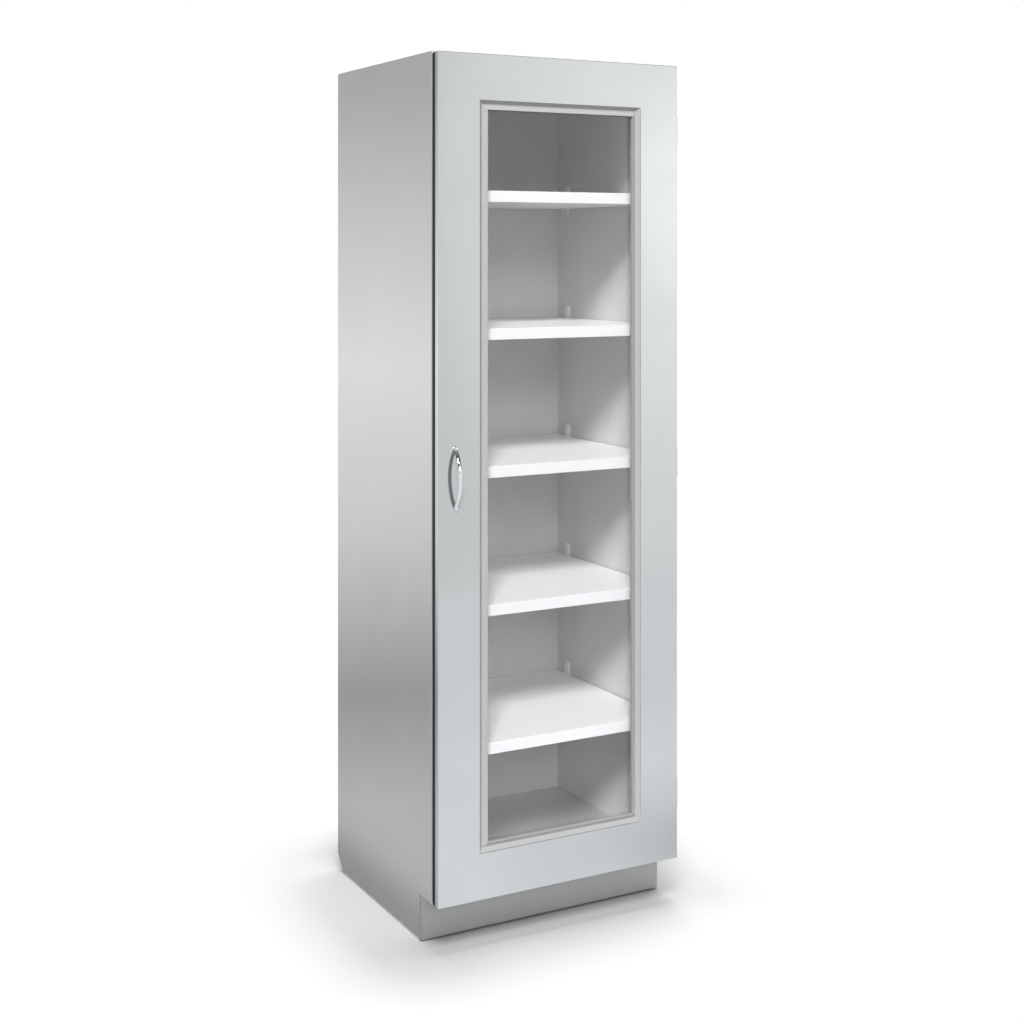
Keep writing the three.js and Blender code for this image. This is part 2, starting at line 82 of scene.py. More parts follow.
def pattern(tree, size_mm, detail, stretch=(1, 1, 1)):
    """Noise in the piece's own place, with features of a real size; stretch lengthens them along an axis."""
    where = add(tree, "TexCoord")
    scale = [1 / (size_mm * MM * s) for s in stretch]
    mapped = add(tree, "Mapping", {"Vector": where.outputs["Object"], "Scale": scale})
    noise = add(tree, "TexNoise", {"Vector": mapped.outputs[0], "Scale": 1, "Detail": detail})
    return noise.outputs["Fac"]


def two_tone(tree, value, dark, light):
    """A colour that moves between two with a pattern."""
    share = add(tree, "MapRange", {"Value": value, **NOISE_SPAN})
    ends = {0: share.outputs[0], 6: srgb(dark), 7: srgb(light)}
    return add(tree, "Mix", ends, data_type="RGBA").outputs[2]


def metallic_laminate(name, dark, light, metallic, roughness):
    """Laminate with fine aluminium flake under a hard satin film: a soft metal look, faintly brushed
    upright. The brush lines are 0.2 mm in life and are drawn 1.5 mm wide, so that they show."""
    material, tree = new_material(name)
    brush = pattern(tree, 1.5, 2, (1, 1, 60))
    cloud = pattern(tree, 140, 2)
    tone = add(tree, "Mix", {0: 0.6, 2: brush, 3: cloud})
    bump = add(tree, "Bump", {"Strength": 0.012, "Distance": GRAIN_HEIGHT, "Height": brush})
    ends = {"To Min": roughness - 0.01, "To Max": roughness + 0.01}
    rough = add(tree, "MapRange", {"Value": brush, **NOISE_SPAN, **ends})
    film = add(tree, "BsdfPrincipled", {
        "Base Color": two_tone(tree, tone.outputs[0], dark, light),
        "Metallic": metallic,
        "Roughness": rough.outputs[0],
        "Normal": bump.outputs[0],
    })
    add(tree, "OutputMaterial", {"Surface": film.outputs[0]})
    return material


def melamine(name, dark, light, roughness):
    """Melamine-faced board: paper under pressed resin, satin, with a fine pressed-in grain. The grain is
    0.3 mm in life and is drawn 2 mm wide, so that it shows."""
    material, tree = new_material(name)
    grain = pattern(tree, 2, 3)
    cloud = pattern(tree, 90, 2)
    bump = add(tree, "Bump", {"Strength": 0.08, "Distance": GRAIN_HEIGHT, "Height": grain})
    ends = {"To Min": roughness - 0.05, "To Max": roughness + 0.05}
    rough = add(tree, "MapRange", {"Value": grain, **NOISE_SPAN, **ends})
    resin = add(tree, "BsdfPrincipled", {
        "Base Color": two_tone(tree, cloud, dark, light),
        "Roughness": rough.outputs[0],
        "Normal": bump.outputs[0],
    })
    add(tree, "OutputMaterial", {"Surface": resin.outputs[0]})
    return material


def moulded_plastic(name, dark, light, roughness, grain_mm, shine=0.5):
    """Moulded or extruded plastic: even colour with a spark-eroded texture from the tool. That texture is
    under 0.1 mm in life and is drawn at grain_mm, so that it shows."""
    material, tree = new_material(name)
    grain = pattern(tree, grain_mm, 2)
    bump = add(tree, "Bump", {"Strength": 0.15, "Distance": GRAIN_HEIGHT, "Height": grain})
    ends = {"To Min": roughness - 0.06, "To Max": roughness + 0.06}
    rough = add(tree, "MapRange", {"Value": grain, **NOISE_SPAN, **ends})
    plastic = add(tree, "BsdfPrincipled", {
        "Base Color": two_tone(tree, grain, dark, light),
        "Roughness": rough.outputs[0],
        "Specular IOR Level": shine,
        "Normal": bump.outputs[0],
    })
    add(tree, "OutputMaterial", {"Surface": plastic.outputs[0]})
    return material


def plain_metal(name, dark, light, smooth, rough, size_mm, stretch=(1, 1, 1)):
    """Bare or plated metal, with the brush lines or faint handling marks of its finish. Brush lines are
    0.1 mm in life and are drawn 1 mm wide, so that they show."""
    material, tree = new_material(name)
    marks = pattern(tree, size_mm, 3, stretch)
    ends = {"To Min": smooth, "To Max": rough}
    worn = add(tree, "MapRange", {"Value": marks, **NOISE_SPAN, **ends})
    metal = add(tree, "BsdfPrincipled", {
        "Base Color": two_tone(tree, marks, dark, light),
        "Metallic": 1,
        "Roughness": worn.outputs[0],
    })
    add(tree, "OutputMaterial", {"Surface": metal.outputs[0]})
    return material


def float_glass():
    """Clear low-reflection float glass: nearly no colour and only a weak mirror on its two faces. Lamps
    and the light that bounces inside the cabinet pass straight through it, as through a thin pane."""
    material, tree = new_material("clear_float_glass")
    smear = pattern(tree, 60, 3)
    wiped = add(tree, "MapRange", {"Value": smear, **NOISE_SPAN, "To Min": 0, "To Max": 0.012})
    glass = add(tree, "BsdfPrincipled", {
        "Base Color": srgb("fbfbfc"),
        "Roughness": wiped.outputs[0],
        "IOR": 1.5,
        "Specular IOR Level": 0.1,
        "Transmission Weight": 1,
    })
    path = add(tree, "LightPath")
    light = {0: path.outputs["Is Shadow Ray"], 1: path.outputs["Is Diffuse Ray"]}
    straight = add(tree, "Math", light, operation="MAXIMUM")
    through = add(tree, "BsdfTransparent", {"Color": srgb("f9f9fa")})
    pane = add(tree, "MixShader", {0: straight.outputs[0], 1: glass.outputs[0], 2: through.outputs[0]})
    add(tree, "OutputMaterial", {"Surface": pane.outputs[0]})
    return material


SIDE_LAMINATE = metallic_laminate("silver_metallic_laminate", "c9caca", "cdcece", 0.7, 0.18)
DOOR_LAMINATE = metallic_laminate("cool_silver_metallic_laminate", "c5cacc", "cacfd1", 0.8, 0.1)
GREY_LAMINATE = metallic_laminate("grey_metallic_laminate", "b2b3b4", "babbbc", 0.1, 0.4)
DECK_LAMINATE = metallic_laminate("grey_deck_laminate", "c6c6c8", "cececf", 0.4, 0.25)
INNER_MELAMINE = melamine("pale_grey_melamine", "d4d4d4", "dadada", 0.45)
SHELF_MELAMINE = melamine("white_melamine", "f9f9f9", "fbfbfb", 0.4)
RAIL_BOARD = melamine("grey_faced_chipboard", "b0aeaa", "b6b4af", 0.6)
EDGE_BAND = moulded_plastic("white_abs_edge_band", "efefef", "f2f2f2", 0.35, 3)
BEAD_VINYL = moulded_plastic("matt_grey_vinyl_wrap", "a2a2a3", "aaaaab", 0.6, 3, 0.12)
GREY_VINYL = moulded_plastic("grey_vinyl_extrusion", "7a7a7d", "848487", 0.5, 2)
SEAL_RUBBER = moulded_plastic("black_sponge_rubber", "0d0d0e", "171718", 0.8, 1.5)
CLIP_PLASTIC = moulded_plastic("white_moulded_nylon", "f0f0f2", "f8f8fa", 0.3, 2)
CATCH_PLASTIC = moulded_plastic("dark_grey_moulded_abs", "45474a", "525457", 0.45, 2)
FOOT_PLASTIC = moulded_plastic("black_moulded_nylon", "1d1e20", "2a2b2d", 0.5, 2)
# Near-black metal for the handle's door-facing side: painted shade, so that its reflection in the door shows
# dark
HANDLE_BACK_SHADE = plain_metal("painted_shade_handle_back", "262627", "303031", 0.5, 0.6, 2)
CHROME = plain_metal("polished_chrome_plate", "dfe1e4", "e9ebee", 0.03, 0.08, 12)
HINGE_STEEL = plain_metal("satin_stainless_steel", "b4b5b6", "c2c3c4", 0.26, 0.36, 1, (1, 1, 30))
ZINC = plain_metal("zinc_plated_steel", "a9aba8", "bcbebb", 0.3, 0.42, 4)
GLASS = float_glass()


# Shaping

# A face points a way if its normal has at least this much of that direction.
FACING = 0.9
# Points nearer than this are one point.
SAME_POINT = 1e-6
# Round pieces are shaded smooth where their faces turn by less than this.
SMOOTH_UNDER = radians(35)
# Shares of a screw head's radius: the top of its dome, and half the width and length of its cross
CROWN, CROSS_WIDTH, CROSS_LENGTH = 0.7, 0.13, 0.55


def soften(bm, edges, offset, segments=2):
    bmesh.ops.bevel(
        bm, geom=list(edges), offset=offset, segments=segments, profile=0.5,
        affect="EDGES", material=-1, clamp_overlap=True,
    )


def cuboid(bm, low, high):
    """A box between two corners; gives its vertices."""
    made = bmesh.ops.create_cube(bm, size=1)["verts"]
    bmesh.ops.scale(bm, vec=high - low, verts=made)
    bmesh.ops.translate(bm, vec=(high + low) / 2, verts=made)
    return made


def edges_of(verts):
    return list(dict.fromkeys(e for v in verts for e in v.link_edges))


def sharp_edges(edges, degrees):
    """The edges whose two faces turn by more than an angle."""
    return [e for e in edges if e.calc_face_angle(0) > radians(degrees)]


def verts_in(parts):
    """The vertices in what a bmesh operator made."""
    return [p for p in parts if isinstance(p, bmesh.types.BMVert)]


def board(node, ease=0.8 * MM):
    """A board in a CAD node's place, with its arrises eased."""
    bm = bmesh.new()
    cuboid(bm, *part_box(node))
    soften(bm, bm.edges, ease)
    return bm


def split(bm, point, direction, **clear):
    """Cuts a whole shape along a plane."""
    whole = bm.verts[:] + bm.edges[:] + bm.faces[:]
    bmesh.ops.bisect_plane(bm, geom=whole, plane_co=point, plane_no=direction, **clear)


def paint(bm, index, chosen):
    """Gives the faces that a test picks another of the piece's materials."""
    bm.normal_update()
    for face in bm.faces:
        if chosen(face):
            face.material_index = index


def paint_round(verts, index):
    """Gives the faces round some vertices another of the piece's materials."""
    for vert in verts:
        for face in vert.link_faces:
            face.material_index = index


def place(bm, name, body, materials, nodes, smooth=False):
    """Makes the shape a piece that rides on a body and stands for CAD nodes."""
    mesh = bpy.data.meshes.new(name)
    bm.to_mesh(mesh)
    bm.free()
    for material in materials:
        mesh.materials.append(material)
    if smooth:
        mesh.polygons.foreach_set("use_smooth", [True] * len(mesh.polygons))
        mesh.set_sharp_from_angle(angle=SMOOTH_UNDER)
    piece = bpy.data.objects.new(name, mesh)
    bpy.context.scene.collection.objects.link(piece)
    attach(piece, body)
    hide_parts(*nodes)


def between(bm, first, last, shut):
    """A straight run from one end outline to the other, each a list of points; shut closes its ends."""
    loops = []
    for points in (first, last):
        verts = [bm.verts.new(p) for p in points]
        loops.append([bm.edges.new((a, b)) for a, b in zip(verts, verts[1:] + verts[:1])])
        if shut:
            bm.faces.new(verts)
    bmesh.ops.bridge_loops(bm, edges=loops[0] + loops[1])


def corners_of(low, high, front, profile):
    """A moulding's outline at each corner of an upright rectangle. Profile points are distances in from
    the rectangle and back from its front, in mm."""
    corners = [
        (low.x, low.z, MM, MM), (high.x, low.z, -MM, MM),
        (high.x, high.z, -MM, -MM), (low.x, high.z, MM, -MM),
    ]
    return [[(x + dx * u, front + v * MM, z + dz * u) for u, v in profile] for x, z, dx, dz in corners]


def mitred_ring(node, front, profile):
    """A moulding that runs round a node's rectangle, mitred at the corners."""
    bm = bmesh.new()
    ends = corners_of(*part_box(node), front, profile)
    for first, last in zip(ends, ends[1:] + ends[:1]):
        between(bm, first, last, shut=False)
    bmesh.ops.remove_doubles(bm, verts=bm.verts, dist=SAME_POINT)
    bmesh.ops.recalc_face_normals(bm, faces=bm.faces)
    return bm


def turned(bm, profile, centre, segments=32):
    """A shape turned about an upright axis from points of radius and height in mm, both ends on the axis."""
    verts = [bm.verts.new((centre.x + r * MM, centre.y, z * MM)) for r, z in profile]
    edges = [bm.edges.new(pair) for pair in zip(verts, verts[1:])]
    bmesh.ops.spin(
        bm, geom=verts + edges, cent=centre, axis=(0, 0, 1), dvec=(0, 0, 0), angle=2 * pi,
        steps=segments, use_merge=True,
    )
    bmesh.ops.remove_doubles(bm, verts=bm.verts, dist=SAME_POINT)
    bmesh.ops.recalc_face_normals(bm, faces=bm.faces)


def screw_head(bm, centre, outward, radius, rise, index):
    """A low domed screw head with a cross recess, its rim at a point on a face. It is shaped at the
    origin and then moved there."""
    there = set(bm.verts)
    rim = bmesh.ops.create_circle(bm, cap_ends=False, radius=radius, segments=24)["verts"]
    dome = verts_in(bmesh.ops.extrude_edge_only(bm, edges=edges_of(rim))["geom"])
    bmesh.ops.translate(bm, vec=(0, 0, rise), verts=dome)
    bmesh.ops.scale(bm, vec=(CROWN, CROWN, 1), verts=dome)
    crown = bmesh.ops.contextual_create(bm, geom=dome)["faces"]
    arm = radius * CROSS_WIDTH
    reach = radius * CROSS_LENGTH
    for axis in ((1, 0, 0), (0, 1, 0)):
        for offset in (-reach, -arm, arm, reach):
            whole = crown + [v for f in crown for v in f.verts] + [e for f in crown for e in f.edges]
            cut = bmesh.ops.bisect_plane(
                bm, geom=list(dict.fromkeys(whole)), plane_co=Vector(axis) * offset, plane_no=axis,
            )
            crown = [g for g in cut["geom"] if isinstance(g, bmesh.types.BMFace)]

    def in_cross(face):
        x, y = (abs(c) for c in face.calc_center_median()[:2])
        return min(x, y) < arm and max(x, y) < reach

    recess = bmesh.ops.extrude_face_region(bm, geom=[f for f in crown if in_cross(f)])["geom"]
    bmesh.ops.translate(bm, vec=(0, 0, -0.8 * rise), verts=verts_in(recess))
    covered = [f for f in crown if f.is_valid and in_cross(f)]
    bmesh.ops.delete(bm, geom=covered, context="FACES_ONLY")
    head = [v for v in bm.verts if v not in there]
    paint_round(head, index)
    turn = Vector((0, 0, 1)).rotation_difference(Vector(outward)).to_matrix().to_4x4()
    bmesh.ops.transform(bm, matrix=Matrix.Translation(centre) @ turn, verts=head)


# Carcass boards

def side_board(node, outward):
    """A side panel: toe notch in front, corner cut off at the foot of the rear edge."""
    low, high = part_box(node)
    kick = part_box("kick_board")[1]
    heel = high.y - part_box("rear_base_rail")[1].y
    points = [
        (low.y, kick.z), (kick.y, kick.z), (kick.y, 0), (high.y - heel, 0), (high.y, heel),
        (high.y, high.z), (low.y, high.z),
    ]
    bm = bmesh.new()
    face = bm.faces.new([bm.verts.new((low.x, y, z)) for y, z in points])
    grown = bmesh.ops.extrude_face_region(bm, geom=[face], use_keep_orig=True)["geom"]
    bmesh.ops.translate(bm, vec=(high.x - low.x, 0, 0), verts=verts_in(grown))
    bmesh.ops.recalc_face_normals(bm, faces=bm.faces)
    soften(bm, bm.edges, 0.4 * MM)
    paint(bm, 1, lambda f: f.normal.x * outward < -FACING)
    place(bm, node + "_board", "carcass", [SIDE_LAMINATE, INNER_MELAMINE], [node])


side_board("left_side_panel", -1)
side_board("right_side_panel", 1)

top = board("top_panel")
paint(top, 1, lambda f: f.normal.z < -FACING)
place(top, "top_board", "carcass", [SIDE_LAMINATE, INNER_MELAMINE], ["top_panel"])

back = board("back_panel", 0.4 * MM)
paint(back, 1, lambda f: f.normal.y > FACING)
place(back, "back_board", "carcass", [INNER_MELAMINE, RAIL_BOARD], ["back_panel"])

place(board("kick_board"), "kick_front", "carcass", [GREY_LAMINATE], ["kick_board"])
place(board("bottom_deck"), "deck_board", "carcass", [DECK_LAMINATE], ["bottom_deck"])

# Rails, each with a row of screws behind
RAIL_SCREW, RAIL_SCREW_RISE = 4.5 * MM, 1.2 * MM
for node in ("upper_hang_rail", "lower_hang_rail", "rear_base_rail"):
    low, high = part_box(node)
    rail = board(node)
    for share in (0.06, 0.35, 0.65, 0.94):
        spot = Vector((low.x + share * (high.x - low.x), high.y, (low.z + high.z) / 2))
        screw_head(rail, spot, (0, 1, 0), RAIL_SCREW, RAIL_SCREW_RISE, 1)
    place(rail, node + "_board", "carcass", [RAIL_BOARD, ZINC], [node])

# Shelves, with an edge band in front
BAND = 1.2 * MM
for number in range(1, 6):
    node = f"shelf_{number}"
    behind_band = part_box(node)[0].y + BAND
    shelf = board(node, 1 * MM)
    split(shelf, (0, behind_band, 0), (0, 1, 0))
    paint(shelf, 1, lambda f: f.calc_center_median().y < behind_band)
    place(shelf, node + "_board", "carcass", [SHELF_MELAMINE, EDGE_BAND], [node])


# Shelf clips

def clip_moulding(node):
    """A shelf clip from its CAD solid, with the soft corners of a moulding."""
    bm = bmesh.new()
    bm.from_mesh(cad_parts[node].data)
    bmesh.ops.remove_doubles(bm, verts=bm.verts, dist=SAME_POINT)
    bmesh.ops.dissolve_limit(bm, angle_limit=radians(1), verts=bm.verts, edges=bm.edges)
    soften(bm, sharp_edges(bm.edges, 25), 0.6 * MM, 3)
    place(bm, node + "_moulding", "carcass", [CLIP_PLASTIC], [node])


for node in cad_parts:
    if "_clip_" in node:
        clip_moulding(node)

# Levelling feet, in mm: a round pad, a threaded stud on it and a hexagon to turn it by
PAD_TOP, THREAD_START, PITCH, CREST, ROOT = 14, 22, 1.5, 5, 4.2
HEXAGON, HEXAGON_TALL, HEXAGON_MIDDLE = 8.6, 7, 17.6
PAD = [(0, 0), (16.5, 0), (18, 1.5), (18, 4.5), (16.5, 6), (9, 13), (8, PAD_TOP), (0, PAD_TOP)]
for node in ("front_left_foot", "front_right_foot", "rear_left_foot", "rear_right_foot"):
    low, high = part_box(node)
    centre = Vector(((low.x + high.x) / 2, (low.y + high.y) / 2, 0))
    tip = high.z / MM
    stud = [(0, PAD_TOP), (ROOT, PAD_TOP)]
    for i in range(int((tip - THREAD_START) / PITCH)):
        stud += [(ROOT, THREAD_START + PITCH * i), (CREST, THREAD_START + PITCH * (i + 0.5))]
    stud += [(4, tip - 1), (3, tip), (0, tip)]
    foot = bmesh.new()
    turned(foot, PAD, centre)
    turned(foot, stud, centre, 20)
    paint(foot, 1, lambda f: f.calc_center_median().z > PAD_TOP * MM)
    nut = bmesh.ops.create_cone(
        foot, cap_ends=True, segments=6, radius1=HEXAGON * MM, radius2=HEXAGON * MM, depth=HEXAGON_TALL * MM,
    )["verts"]
    bmesh.ops.translate(foot, vec=centre + Vector((0, 0, HEXAGON_MIDDLE * MM)), verts=nut)
    paint_round(nut, 1)
    place(foot, node + "_glide", node, [FOOT_PLASTIC, ZINC], [node], smooth=True)

# Magnetic catch: a moulded body with two steel pole plates, held by two screws from below
POLE_START, POLE_END = 3.5 * MM, 5 * MM
CATCH_SCREW, CATCH_SCREW_RISE, CATCH_SCREW_INSET = 3.2 * MM, 1.2 * MM, 8 * MM
low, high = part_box("magnet_catch")
catch = board("magnet_catch", 1.2 * MM)
for z in (low.z + POLE_START, low.z + POLE_END, high.z - POLE_END, high.z - POLE_START):
    split(catch, (0, 0, z), (0, 0, 1))


def on_pole(face):
    z = face.calc_center_median().z
    return face.normal.y < -FACING and POLE_START < min(z - low.z, high.z - z) < POLE_END


paint(catch, 1, on_pole)
for x in (low.x + CATCH_SCREW_INSET, high.x - CATCH_SCREW_INSET):
    spot = Vector((x, (low.y + high.y) / 2, low.z))
    screw_head(catch, spot, (0, 0, -1), CATCH_SCREW, CATCH_SCREW_RISE, 1)
place(catch, "magnet_catch_body", "carcass", [CATCH_PLASTIC, ZINC], ["magnet_catch"])

# The plate on the door that the catch holds, with rounded corners and a nearly flush screw
low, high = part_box("strike_plate")
strike = bmesh.new()
cuboid(strike, low, high)
corners = [e for e in strike.edges if abs((e.verts[0].co - e.verts[1].co).y) > MM / 2]
soften(strike, corners, 3 * MM, 5)
spot = Vector(((low.x + high.x) / 2, high.y, (low.z + high.z) / 2))
screw_head(strike, spot, (0, 1, 0), 3 * MM, 0.2 * MM, 0)
place(strike, "strike_plate_steel", "door", [HINGE_STEEL], ["strike_plate"])

# Door, in mm: a frame round its window, rebated behind for the seal. FIT is the play round the beads.
FIT, REBATE = 0.3, 11.3
low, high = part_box("door_frame")
front = low.y
play = Vector((FIT * MM, 0, FIT * MM))
window_low = Vector((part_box("glazing_bead_left")[0].x, 0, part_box("glazing_bead_bottom")[0].z)) - play
window_high = Vector((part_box("glazing_bead_right")[1].x, 0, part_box("glazing_bead_top")[1].z)) + play
stile = (window_low.x - low.x) / MM
thick = (high.y - front) / MM
seat = (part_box("door_seal")[0].y - front) / MM
section = [(0, 0), (stile, 0), (stile, thick), (REBATE, thick), (REBATE, seat), (0, seat)]
slab = mitred_ring("door_frame", front, section)
soften(slab, sharp_edges(slab.edges, 30), 1.2 * MM, 3)
place(slab, "door_slab", "door", [DOOR_LAMINATE], ["door_frame"])

# Glazing beads, in mm: mitred mouldings, hollowed between the door and a lip beside the glass. The hollow
# slopes down from both edges to a rounded bottom.
REVEAL, SLOPE, TILT, LIP, WIDTH, FACETS = 1.2, 5.5, radians(45), 1.5, 20, 12
depth = (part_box("glass_pane")[0].y - front) / MM - FIT
across = (FIT + WIDTH - LIP) / 2
radius = (WIDTH - LIP - across - SLOPE) / sin(TILT)
slope_foot = REVEAL + SLOPE * tan(TILT)
turns = [TILT * (2 * i / FACETS - 1) for i in range(FACETS + 1)]
hollow = [(across + radius * sin(t), slope_foot + radius * (cos(t) - cos(TILT))) for t in turns]
outline = [
    (FIT, depth), (FIT, REVEAL), *hollow, (WIDTH - LIP, REVEAL), (WIDTH, REVEAL), (WIDTH, depth),
]
ends = corners_of(window_low, window_high, front, outline)
names = ("glazing_bead_bottom", "glazing_bead_right", "glazing_bead_top", "glazing_bead_left")
for name, first, last in zip(names, ends, ends[1:] + ends[:1]):
    bead = bmesh.new()
    between(bead, first, last, shut=True)
    bmesh.ops.recalc_face_normals(bead, faces=bead.faces)
    lengthwise = [e for e in bead.edges if e.calc_length() > 100 * MM]
    soften(bead, sharp_edges(lengthwise, 30), 0.4 * MM, 3)
    place(bead, name + "_moulding", "door", [BEAD_VINYL], [name], smooth=True)

# Pane, and the vinyl frame that holds it from behind
place(board("glass_pane", 0.5 * MM), "pane_of_glass", "door", [GLASS], ["glass_pane"])
RETAINER = [(0, 0), (14, 0), (14, 1.4), (13, 2.4), (1, 2.4), (0, 1.4)]
retainer = mitred_ring("glass_retainer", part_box("glass_retainer")[0].y, RETAINER)
place(retainer, "retainer_frame", "door", [GREY_VINYL], ["glass_retainer"])

# Seal: a flat foot in the door and two soft bulbs that meet the carcass
BULB = [
    (0, 0), (10, 0), (10, 6.6), (9.7, 7.4), (9.9, 9.2), (9.8, 12), (9.2, 14.7), (8, 16.4), (6.8, 16.6),
    (5.6, 15.2), (5, 14), (4.4, 15.2), (3.2, 16.6), (2, 16.4), (0.8, 14.7), (0.2, 12), (0.1, 9.2),
    (0.3, 7.4), (0, 6.6),
]
seal = mitred_ring("door_seal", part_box("door_seal")[0].y, BULB)
place(seal, "bulb_seal", "door", [SEAL_RUBBER], ["door_seal"], smooth=True)

# Bow handle: an oval bar bent to an arc on two short tapered posts, plated in front and painted near-black
# where it faces the door: painted shade, so that its reflection in the door shows dark. The arc runs on past
# the posts and is cut off where the door begins.
WIDE, THICK, CENTRES, POST, TAPER = 9 * MM, 7 * MM, 128 * MM, 7 * MM, 0.8
RUN_ON, SHADE_PAINT_FACING = radians(6), 0.45
FACE_ON = Matrix.Rotation(pi / 2, 4, "X")
low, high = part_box("bow_handle")
middle = (low + high) / 2
rise = high.y - low.y - THICK / 2
radius = (CENTRES ** 2 / 4 + rise ** 2) / (2 * rise)
hub = Vector((middle.x, high.y - rise + radius, middle.z))
reach = asin(CENTRES / 2 / radius) + RUN_ON
handle = bmesh.new()
oval = bmesh.ops.create_circle(handle, radius=1, segments=28)["verts"]
bmesh.ops.scale(handle, vec=(WIDE / 2, THICK / 2, 1), verts=oval)
bmesh.ops.translate(handle, vec=(middle.x, low.y + THICK / 2, middle.z), verts=oval)
bmesh.ops.rotate(handle, cent=hub, matrix=Matrix.Rotation(-reach, 3, "X"), verts=oval)
bmesh.ops.spin(
    handle, geom=handle.verts[:] + handle.edges[:], cent=hub, axis=(1, 0, 0), dvec=(0, 0, 0),
    angle=2 * reach, steps=60,
)
split(handle, (0, high.y, 0), (0, 1, 0), clear_outer=True)
bmesh.ops.holes_fill(handle, edges=handle.edges, sides=0)
for sign in (-1, 1):
    spot = Matrix.Translation((middle.x, high.y - POST / 2, middle.z + sign * CENTRES / 2))
    post = bmesh.ops.create_cone(
        handle, cap_ends=True, segments=28, radius1=WIDE / 2, radius2=WIDE / 2 * TAPER, depth=POST,
        matrix=spot @ FACE_ON,
    )["verts"]
    soften(handle, sharp_edges(edges_of(post), 60), 0.5 * MM)
bmesh.ops.recalc_face_normals(handle, faces=handle.faces)
# Faces towards the door get the near-black metal: painted shade for a dark reflection in the door
paint(handle, 1, lambda f: f.normal.y > SHADE_PAINT_FACING)
place(handle, "bow_handle_bar", "door", [CHROME, HANDLE_BACK_SHADE], ["bow_handle"], smooth=True)

# Handle screws: a round flange on the back of the door, under a domed head
SCREW, SCREW_RISE, FLANGE = 4 * MM, 1 * MM, 1.5 * MM
for end in ("lower", "upper"):
    node = end + "_handle_screw"
    low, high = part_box(node)
    x, z = (low.x + high.x) / 2, (low.z + high.z) / 2
    rim = high.y - SCREW_RISE
    screw = bmesh.new()
    bmesh.ops.create_cone(
        screw, cap_ends=True, segments=24, radius1=SCREW, radius2=SCREW, depth=FLANGE,
        matrix=Matrix.Translation((x, rim - FLANGE / 2, z)) @ FACE_ON,
    )
    screw_head(screw, Vector((x, rim, z)), (0, 1, 0), SCREW, SCREW_RISE, 0)
    place(screw, node + "_head", "door", [ZINC], [node], smooth=True)

# Hinges: leaves with rolled knuckles round a pin, screwed on
KNUCKLES, KNUCKLE_GAP, BARREL, LEAF, LEAF_CORNER = 5, 0.6 * MM, 4.5 * MM, 2.2 * MM, 4 * MM
LEAF_SCREW, LEAF_SCREW_RISE = 3.4 * MM, 0.7 * MM
# Screws by share of the leaf's width and mm above its middle
FRAME_SCREWS = [(0.3, -26), (0.68, -10), (0.68, 10), (0.3, 26)]
DOOR_SCREWS = [(0.5, -25), (0.5, 0), (0.5, 25)]


def hinge_leaf(node, pin, body, width, toward, first, screws):
    """One leaf: a plate that runs toward the back or front, every second knuckle from the first that
    belongs to it, and its screws."""
    low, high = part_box(node)
    pin_low, pin_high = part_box(pin)
    axis = (pin_low + pin_high) / 2
    pitch = (high.z - low.z) / KNUCKLES
    far = high.y if toward > 0 else low.y
    near = far - toward * width

    def strip(y, bottom, top):
        """A piece of plate from the near edge to another place."""
        ends = Vector((low.x, min(near, y), bottom)), Vector((low.x + LEAF, max(near, y), top))
        return cuboid(bm, *ends)

    bm = bmesh.new()
    plate = edges_of(strip(far, low.z, high.z))
    through = [e for e in plate if abs((e.verts[0].co - e.verts[1].co).x) > MM]
    soften(bm, [e for e in through if abs(e.verts[0].co.y - far) < MM], LEAF_CORNER, 5)
    for i in range(first, KNUCKLES, 2):
        bottom = low.z + i * pitch + KNUCKLE_GAP / 2
        top = low.z + (i + 1) * pitch - KNUCKLE_GAP / 2
        roll = bmesh.ops.create_cone(
            bm, cap_ends=True, segments=28, radius1=BARREL, radius2=BARREL, depth=top - bottom,
            matrix=Matrix.Translation((axis.x, axis.y, (bottom + top) / 2)),
        )["verts"]
        soften(bm, sharp_edges(edges_of(roll), 60), 0.35 * MM)
        strip(axis.y, bottom, top)
    for share, height in screws:
        spot = Vector((low.x + LEAF, near + toward * share * width, (low.z + high.z) / 2 + height * MM))
        screw_head(bm, spot, (1, 0, 0), LEAF_SCREW, LEAF_SCREW_RISE, 1)
    place(bm, node + "_plate", body, [HINGE_STEEL, ZINC], [node], smooth=True)


# A pin's tip: radius, and distance from the end, in mm
PIN_TIP = [(0, 0), (2.6, 0), (3.6, 0.7), (4, 1.5), (4, 2.5), (2.25, 2.5)]
for number in range(1, 4):
    pin = f"hinge_{number}_pin"
    hinge_leaf(f"hinge_{number}_frame_leaf", pin, "carcass", 30 * MM, 1, 0, FRAME_SCREWS)
    hinge_leaf(f"hinge_{number}_door_leaf", pin, "door", 14 * MM, -1, 1, DOOR_SCREWS)
    low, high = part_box(pin)
    lower = [(r, low.z / MM + z) for r, z in PIN_TIP]
    upper = [(r, high.z / MM - z) for r, z in reversed(PIN_TIP)]
    tipped = bmesh.new()
    turned(tipped, lower + upper, Vector(((low.x + high.x) / 2, (low.y + high.y) / 2, 0)), 28)
    place(tipped, pin + "_tipped", "carcass", [HINGE_STEEL], [pin], smooth=True)


# Stage: white floor, four cards that only reflections show, white room, lamps and camera

def seen_rays(tree):
    """1 for the rays that show the background: from the camera, in mirrors and through glass."""
    path = add(tree, "LightPath")
    direct = {0: path.outputs["Is Camera Ray"], 1: path.outputs["Is Glossy Ray"]}
    pair = add(tree, "Math", direct, operation="MAXIMUM")
    all_three = {0: pair.outputs[0], 1: path.outputs["Is Transmission Ray"]}
    return add(tree, "Math", all_three, operation="MAXIMUM").outputs[0]


